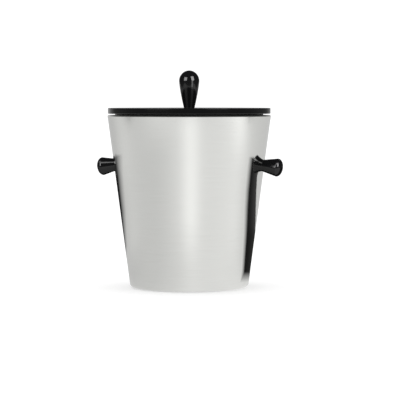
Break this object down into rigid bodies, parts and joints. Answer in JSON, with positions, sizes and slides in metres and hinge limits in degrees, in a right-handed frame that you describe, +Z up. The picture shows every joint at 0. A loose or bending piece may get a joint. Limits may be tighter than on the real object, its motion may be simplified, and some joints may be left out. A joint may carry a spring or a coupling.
{
  "type": "ice bucket",
  "caption": "Insulated ice bucket: tapered satin steel body with a black flat lid, pear-shaped lid knob and side knobs; the lid lifts off.",
  "frame": {"origin": "on the bucket's axis, in the plane it stands on (the underside of the base pad)", "axes": "+Z up along the axis through the lid knob; the two side knobs point along -X and +X"},
  "size_m": [0.2, 0.1706, 0.2274],
  "materials": {
    "satin_steel": "satin",
    "polished_steel": "polished",
    "black_ring": "satin",
    "black_gloss": "gloss",
    "black_moulding": "matte",
    "grey_rubber": "matte",
    "black_rubber": "matte",
    "foam": "matte",
    "brass": "satin",
    "zinc_steel": "satin"
  },
  "bodies": {
    "bucket": {"outer_shell": "satin_steel", "inner_liner": "polished_steel", "rim_ring": "black_ring", "liner_gasket": "grey_rubber", "wall_insulation": "foam", "base_insulation": "foam", "base_pad": "black_rubber", "side_knob_left": "black_gloss", "side_knob_right": "black_gloss", "knob_insert_left": "brass", "knob_insert_right": "brass", "knob_screw_left": "zinc_steel", "knob_screw_right": "zinc_steel", "knob_washer_left": "zinc_steel", "knob_washer_right": "zinc_steel"},
    "lid": {"lid_disc": "black_gloss", "lid_pan": "black_moulding", "lid_insulation": "foam", "lid_gasket": "grey_rubber", "lid_knob": "black_gloss", "lid_knob_insert": "brass", "lid_screw": "zinc_steel", "lid_washer": "zinc_steel"}
  },
  "joints": [
    {"name": "lid_lift", "type": "slide", "parent": "bucket", "child": "lid", "axis": [0, 0, 1], "range_m": [0, 0.06]}
  ]
}
